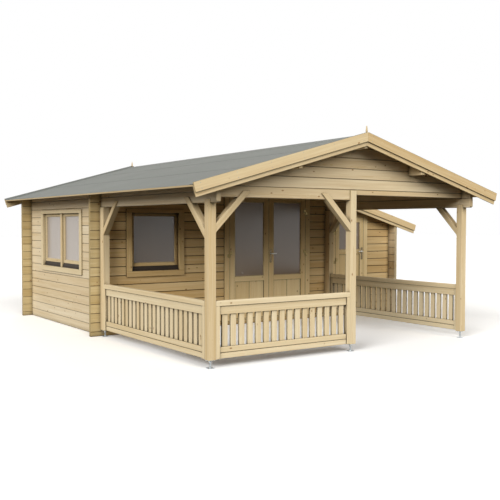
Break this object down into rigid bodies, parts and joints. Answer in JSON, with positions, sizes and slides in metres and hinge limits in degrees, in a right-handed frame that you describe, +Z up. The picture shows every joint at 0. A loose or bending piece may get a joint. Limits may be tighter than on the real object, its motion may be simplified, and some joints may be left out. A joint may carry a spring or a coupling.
{
  "type": "log cabin",
  "caption": "Log cabin with a gabled open veranda, glazed double door, windows and a lean-on side store under one low felted roof, with interlocking log corners.",
  "frame": {"origin": "middle of the roof's plan outline, on the ground", "axes": "+Z up, -Y towards the gable front with the veranda, +X towards the side store"},
  "size_m": [6.946, 7.09, 2.9951],
  "materials": {
    "wall_logs": "planed, pressure treated",
    "posts_and_rails": "planed, pressure treated",
    "galvanised_steel": "galvanised",
    "roof_boards": "planed",
    "mineral_felt": "mineral surfaced",
    "barge_boards": "planed, pressure treated",
    "floor_boards": "planed",
    "joinery": "planed",
    "window_glass": "clear",
    "ironmongery": "satin",
    "weather_bars": "dark coated"
  },
  "bodies": {
    "cabin": {"left_wall": "wall_logs", "dividing_wall": "wall_logs", "store_side_wall": "wall_logs", "rear_wall": "wall_logs", "front_sill_log": "wall_logs", "front_wall_left": "wall_logs", "front_wall_middle": "wall_logs", "store_front_wall": "wall_logs", "front_wall_top": "wall_logs", "front_gable": "wall_logs", "left_wall_plate": "wall_logs", "right_wall_plate": "wall_logs", "posts": "posts_and_rails", "braces": "posts_and_rails", "front_railing": "posts_and_rails", "left_railing": "posts_and_rails", "right_railing": "posts_and_rails", "purlins": "posts_and_rails", "post_feet": "galvanised_steel", "roof_left": "roof_boards", "roof_right_veranda": "roof_boards", "roof_right_cabin": "roof_boards", "roof_felt": "mineral_felt", "front_barge_boards": "barge_boards", "rear_barge_boards": "barge_boards", "store_barge_boards": "barge_boards", "finials": "barge_boards", "floors": "floor_boards", "double_door_frame": "joinery", "store_door_frame": "joinery", "front_window_frame": "joinery", "side_window_frame": "joinery", "window_glass": "window_glass", "hinge_pins": "ironmongery", "weather_bars": "weather_bars"},
    "left_leaf": {"left_leaf": "joinery", "left_leaf_glass": "window_glass", "left_leaf_ironmongery": "ironmongery"},
    "right_leaf": {"right_leaf": "joinery", "right_leaf_glass": "window_glass", "right_leaf_ironmongery": "ironmongery"},
    "store_leaf": {"store_leaf": "joinery", "store_leaf_glass": "window_glass", "store_leaf_ironmongery": "ironmongery"}
  },
  "joints": [
    {"name": "left_leaf_hinge", "type": "hinge", "parent": "cabin", "child": "left_leaf", "pos_m": [-0.782, -0.1223, 1.1], "axis": [0, 0, -1], "range_deg": [0, 100]},
    {"name": "right_leaf_hinge", "type": "hinge", "parent": "cabin", "child": "right_leaf", "pos_m": [0.84, -0.1223, 1.1], "axis": [0, 0, 1], "range_deg": [0, 100]},
    {"name": "store_leaf_hinge", "type": "hinge", "parent": "cabin", "child": "store_leaf", "pos_m": [1.556, -0.1223, 0.95], "axis": [0, 0, -1], "range_deg": [0, 90]}
  ]
}
